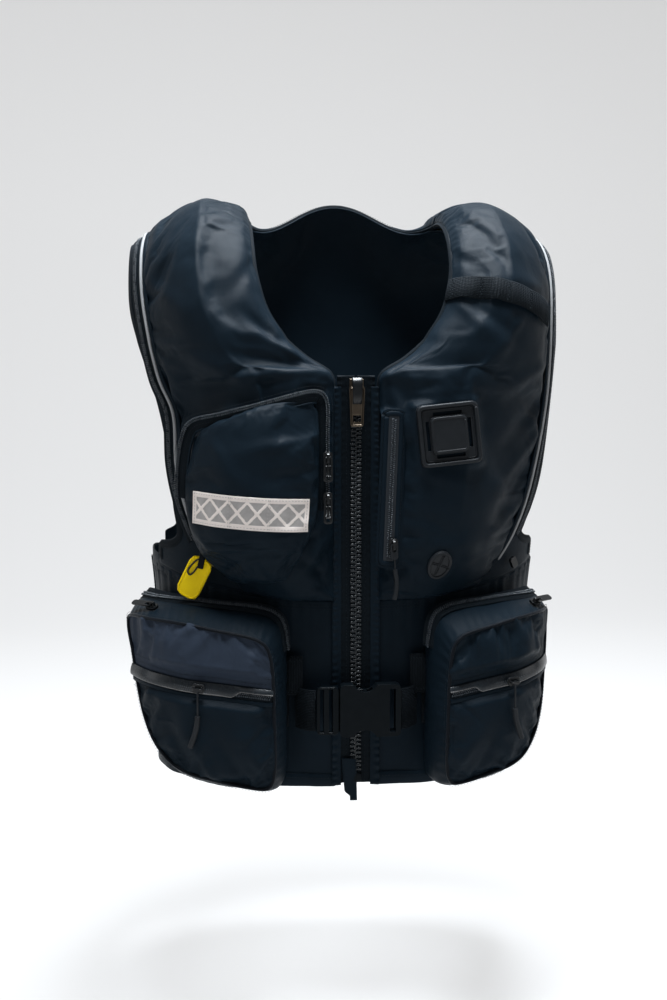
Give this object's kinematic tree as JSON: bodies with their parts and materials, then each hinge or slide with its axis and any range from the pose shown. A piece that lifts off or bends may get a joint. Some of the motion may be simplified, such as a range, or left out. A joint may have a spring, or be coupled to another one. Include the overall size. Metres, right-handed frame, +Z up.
{
  "type": "inflatable life jacket",
  "caption": "Zip-front inflatable life jacket with padded bladder covers over the shoulders, chest and waist pockets, a waist buckle and a yellow manual inflation tab.",
  "frame": {"origin": "between the shoulders, at the height where the jacket rests on them", "axes": "+Z up; the front of the jacket faces -Y; +X is the wearer's left"},
  "size_m": [0.4216, 0.3259, 0.5749],
  "materials": {
    "navy_fabric": "coated nylon taffeta with a soft sheen",
    "black_fabric": "matt polyester lining and zip tape",
    "webbing": "woven polyester webbing",
    "black_plastic": "moulded acetal",
    "rubber": "moulded soft rubber",
    "slider_paint": "black enamel on die-cast zinc",
    "slider_bronze": "dark bronze finish",
    "piping_silver": "reflective piping",
    "reflective_tape": "prismatic reflective tape",
    "bladder_yellow": "coated bladder fabric",
    "yellow_plastic": "moulded yellow plastic",
    "cylinder_steel": "plated steel"
  },
  "bodies": {
    "root": {"harness_front_right": "black_fabric", "lower_front_right": "navy_fabric", "harness_front_left": "black_fabric", "lower_front_left": "navy_fabric", "back_panel": "black_fabric", "lower_back": "black_fabric", "cover_right": "navy_fabric", "cover_left": "navy_fabric", "collar_cover": "navy_fabric", "bladder": "bladder_yellow", "piping": "piping_silver", "burst_zip": "black_fabric", "main_zip_right": "black_plastic", "main_zip_left": "black_plastic", "zip_end_tab": "webbing", "waist_belt": "webbing", "belt_loop": "webbing", "buckle_female": "black_plastic", "chest_pocket": "navy_fabric", "chest_zip": "black_fabric", "reflective_strip": "reflective_tape", "phone_zip": "black_fabric", "lash_tab": "rubber", "cable_port": "rubber", "shoulder_webbing": "webbing", "inflator_body": "black_plastic", "oral_tube": "rubber", "lower_pocket_right": "navy_fabric", "pocket_zip_right": "black_fabric", "welt_zip_right": "black_fabric", "lower_pocket_left": "navy_fabric", "pocket_zip_left": "black_fabric", "welt_zip_left": "black_fabric"},
    "burst_slider_right": {"burst_slider_right": "slider_paint"},
    "burst_slider_left": {"burst_slider_left": "slider_paint"},
    "main_slider": {"main_slider": "slider_bronze"},
    "main_puller": {"main_puller": "slider_paint"},
    "buckle_male": {"buckle_male": "black_plastic"},
    "prong_upper": {"prong_upper": "black_plastic"},
    "prong_lower": {"prong_lower": "black_plastic"},
    "chest_slider_upper": {"chest_slider_upper": "slider_paint"},
    "chest_puller_upper": {"chest_puller_upper": "slider_paint"},
    "chest_slider_lower": {"chest_slider_lower": "slider_paint"},
    "chest_puller_lower": {"chest_puller_lower": "slider_paint"},
    "phone_slider": {"phone_slider": "slider_paint"},
    "phone_pull": {"phone_pull": "rubber"},
    "co2_cylinder": {"co2_cylinder": "cylinder_steel"},
    "inflator_lever": {"inflator_lever": "yellow_plastic"},
    "pull_tab": {"pull_tab": "yellow_plastic"},
    "oral_cap": {"oral_cap": "yellow_plastic"},
    "pocket_slider_right": {"pocket_slider_right": "slider_paint"},
    "pocket_puller_right": {"pocket_puller_right": "slider_paint"},
    "pocket_slider_left": {"pocket_slider_left": "slider_paint"},
    "pocket_puller_left": {"pocket_puller_left": "slider_paint"},
    "welt_slider_right": {"welt_slider_right": "slider_paint"},
    "welt_pull_right": {"welt_pull_right": "rubber"},
    "welt_slider_left": {"welt_slider_left": "slider_paint"},
    "welt_pull_left": {"welt_pull_left": "rubber"}
  },
  "joints": [
    {"name": "main_zip_travel", "type": "slide", "parent": "root", "child": "main_slider", "axis": [0, 0, -1], "range_m": [0, 0.322], "deforming": ["main_zip_right", "main_zip_left"]},
    {"name": "main_puller_swing", "type": "hinge", "parent": "main_slider", "child": "main_puller", "pos_m": [0, -0.13744, -0.154], "axis": [-1, 0, 0], "range_deg": [0, 95]},
    {"name": "chest_upper_travel", "type": "slide", "parent": "root", "child": "chest_slider_upper", "axis": [0, 0, 1], "range_m": [0, 0.032]},
    {"name": "chest_upper_swing", "type": "hinge", "parent": "chest_slider_upper", "child": "chest_puller_upper", "pos_m": [-0.02856, -0.16294, -0.215], "axis": [-1, 0, 0], "range_deg": [0, 150]},
    {"name": "chest_lower_travel", "type": "slide", "parent": "root", "child": "chest_slider_lower", "axis": [0, 0, 1], "range_m": [0, 0.008]},
    {"name": "chest_lower_swing", "type": "hinge", "parent": "chest_slider_lower", "child": "chest_puller_lower", "pos_m": [-0.02856, -0.16294, -0.251], "axis": [-1, 0, 0], "range_deg": [0, 150]},
    {"name": "phone_zip_travel", "type": "slide", "parent": "root", "child": "phone_slider", "axis": [-0.0384, 0, 0.9993], "range_m": [0, 0.1]},
    {"name": "phone_pull_swing", "type": "hinge", "parent": "phone_slider", "child": "phone_pull", "pos_m": [0.03056, -0.16187, -0.29297], "axis": [-0.9993, 0, -0.0384], "range_deg": [0, 120]},
    {"name": "buckle_release", "type": "slide", "parent": "root", "child": "buckle_male", "axis": [-1, 0, 0], "range_m": [0, 0.0255], "deforming": ["prong_upper", "prong_lower", "belt_loop"]},
    {"name": "prong_upper_squeeze", "type": "hinge", "parent": "buckle_male", "child": "prong_upper", "pos_m": [-0.017, -0.149, -0.431], "axis": [0, 1, 0], "range_deg": [0, 6], "stiffness_Nm_per_rad": 0.6},
    {"name": "prong_lower_squeeze", "type": "hinge", "parent": "buckle_male", "child": "prong_lower", "pos_m": [-0.017, -0.149, -0.459], "axis": [0, 1, 0], "range_deg": [-6, 0], "stiffness_Nm_per_rad": 0.6},
    {"name": "tab_pull", "type": "slide", "parent": "root", "child": "pull_tab", "axis": [-0.407, -0.8726, -0.2701], "range_m": [0, 0.018]},
    {"name": "lever_turn", "type": "hinge", "parent": "root", "child": "inflator_lever", "pos_m": [-0.09793, -0.13517, -0.293], "axis": [1, 0, 0], "range_deg": [0, 70.1]},
    {"name": "cylinder_unscrew", "type": "hinge", "parent": "root", "child": "co2_cylinder", "pos_m": [-0.10543, -0.13517, -0.284], "axis": [0, 0, 1], "range_deg": [0, 1800]},
    {"name": "oral_cap_pull", "type": "slide", "parent": "root", "child": "oral_cap", "axis": [0, 0, 1], "range_m": [0, 0.014]},
    {"name": "burst_right_travel", "type": "slide", "parent": "root", "child": "burst_slider_right", "axis": [0.4272, -0.3406, 0.8375], "range_m": [0, 0.01]},
    {"name": "pocket_right_travel", "type": "slide", "parent": "root", "child": "pocket_slider_right", "axis": [0.7872, -0.6168, 0], "range_m": [0, 0.022]},
    {"name": "pocket_right_swing", "type": "hinge", "parent": "pocket_slider_right", "child": "pocket_puller_right", "pos_m": [-0.18654, -0.1249, -0.3487], "axis": [0.5484, 0.6999, 0.4575], "range_deg": [0, 75]},
    {"name": "welt_right_travel", "type": "slide", "parent": "root", "child": "welt_slider_right", "axis": [0.9774, -0.1927, -0.0872], "range_m": [0, 0.055]},
    {"name": "welt_right_swing", "type": "hinge", "parent": "welt_slider_right", "child": "welt_pull_right", "pos_m": [-0.14462, -0.17827, -0.41556], "axis": [-0.9811, 0.1935, 0], "range_deg": [0, 34]},
    {"name": "burst_left_travel", "type": "slide", "parent": "root", "child": "burst_slider_left", "axis": [-0.3976, -0.3757, 0.8371], "range_m": [0, 0.01]},
    {"name": "pocket_left_travel", "type": "slide", "parent": "root", "child": "pocket_slider_left", "axis": [-0.7698, -0.6383, 0], "range_m": [0, 0.022]},
    {"name": "pocket_left_swing", "type": "hinge", "parent": "pocket_slider_left", "child": "pocket_puller_left", "pos_m": [0.16928, -0.13152, -0.34934], "axis": [0.5313, -0.6408, -0.5541], "range_deg": [0, 75]},
    {"name": "welt_left_travel", "type": "slide", "parent": "root", "child": "welt_slider_left", "axis": [-0.9774, -0.1927, -0.0872], "range_m": [0, 0.055]},
    {"name": "welt_left_swing", "type": "hinge", "parent": "welt_slider_left", "child": "welt_pull_left", "pos_m": [0.13824, -0.17827, -0.41556], "axis": [-0.9811, -0.1935, 0], "range_deg": [0, 34]}
  ],
  "couplings": [
    {"joint": "prong_lower_squeeze", "follows": "prong_upper_squeeze", "ratio": -1},
    {"joint": "lever_turn", "follows": "tab_pull", "rad_per_m": 67.87}
  ]
}
